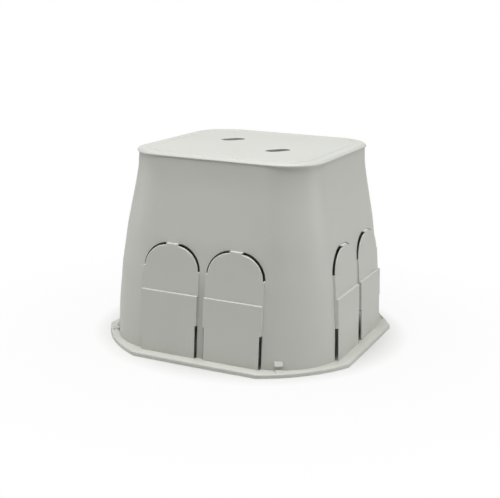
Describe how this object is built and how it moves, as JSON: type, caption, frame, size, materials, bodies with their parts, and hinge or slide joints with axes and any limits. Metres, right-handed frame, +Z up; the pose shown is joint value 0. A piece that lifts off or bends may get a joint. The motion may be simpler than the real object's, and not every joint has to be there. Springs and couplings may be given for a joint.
{
  "type": "drain box",
  "caption": "Square open-bottomed drain box with flared walls, arched pipe knock-outs, a wide ground flange and a flat lift-off lid with lifting slots.",
  "frame": {"origin": "on the ground, under the middle of the box's flange", "axes": "+Z up through the lid; +X to the right along the front face; +Y from the front face to the back"},
  "size_m": [0.272, 0.272, 0.2],
  "materials": {
    "body_plastic": "satin light warm-grey moulded polypropylene",
    "lid_plastic": "satin light warm-grey moulded polypropylene"
  },
  "bodies": {
    "box": {"box_body": "body_plastic"},
    "cover": {"lid": "lid_plastic"}
  },
  "joints": [
    {"name": "lid_lift", "type": "slide", "parent": "box", "child": "cover", "axis": [0, 0, 1], "range_m": [0, 0.1]}
  ]
}
